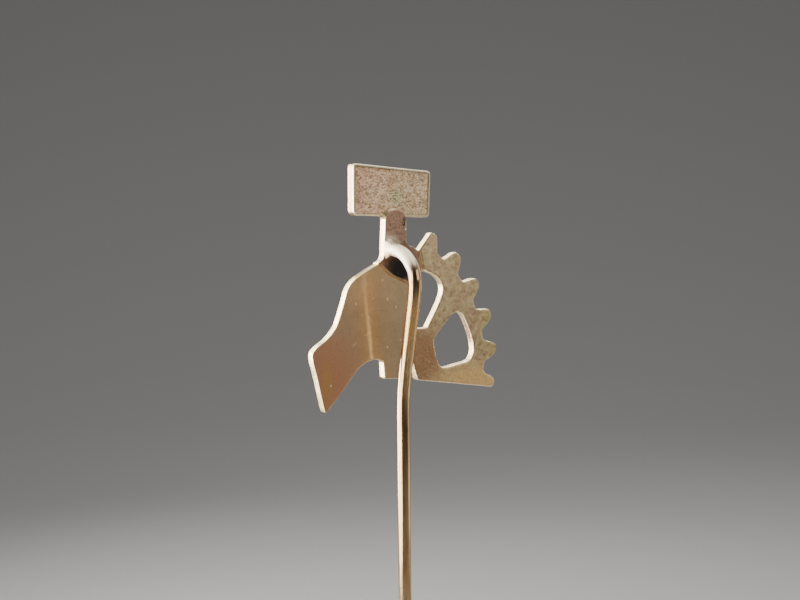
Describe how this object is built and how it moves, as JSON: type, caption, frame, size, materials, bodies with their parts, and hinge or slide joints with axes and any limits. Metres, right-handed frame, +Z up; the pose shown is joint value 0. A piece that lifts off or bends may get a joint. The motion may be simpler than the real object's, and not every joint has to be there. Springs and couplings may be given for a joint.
{
  "type": "tie tack",
  "caption": "Flat pierced metal emblem with a toothed side plate and a blank panel on a neck, soldered to a bent pin whose point is kept by a small spring-loaded locking clutch.",
  "frame": {"origin": "on the emblem's flat back, straight in front of the pin's shaft, about 6 mm below the pin's foot", "axes": "+Z up along the pin's straight shaft, with the point at -Z; +Y out of the emblem's back, towards the pin; the emblem's front faces -Y and its toothed plate lies at -X"},
  "size_m": [0.0187, 0.0064, 0.0603],
  "materials": {
    "head_gold": "grainy sandblasted pinkish gold with a bright worn rim",
    "stem_gold": "dark reddish-brown heat-stained gold plate, grainy",
    "wing_gold": "smooth satin brownish gold with fine scratches",
    "gear_gold": "fine-grained satin yellow gold",
    "pin_gold": "drawn wire, polished gold plate with light tarnish",
    "solder": "pale gold solder, smooth with a dull skin",
    "clutch_gold": "turned and polished gold plate",
    "steel": "bright hard steel"
  },
  "bodies": {
    "pin": {"head_plate": "head_gold", "stem_plate": "stem_gold", "wing_plate": "wing_gold", "gear_plate": "gear_gold", "pin_wire": "pin_gold", "solder_head_lap": "solder", "solder_stem_wing": "solder", "solder_stem_gear": "solder", "solder_wing_gear": "solder", "solder_pin_foot": "solder"},
    "clutch": {"clutch_shell": "clutch_gold", "clutch_retainer": "steel", "clutch_spring": "steel"},
    "cap": {"clutch_cap": "clutch_gold", "clutch_ball_1": "steel", "clutch_ball_2": "steel", "clutch_ball_3": "steel"}
  },
  "joints": [
    {"name": "clutch_slide", "type": "slide", "parent": "pin", "child": "clutch", "axis": [0, 0, -1], "range_m": [0, 0.009]},
    {"name": "cap_pull", "type": "slide", "parent": "clutch", "child": "cap", "axis": [0, 0, -1], "range_m": [0, 0.0007], "stiffness_N_per_m": 60, "springref_m": -0.002, "deforming": ["clutch_spring"]}
  ]
}
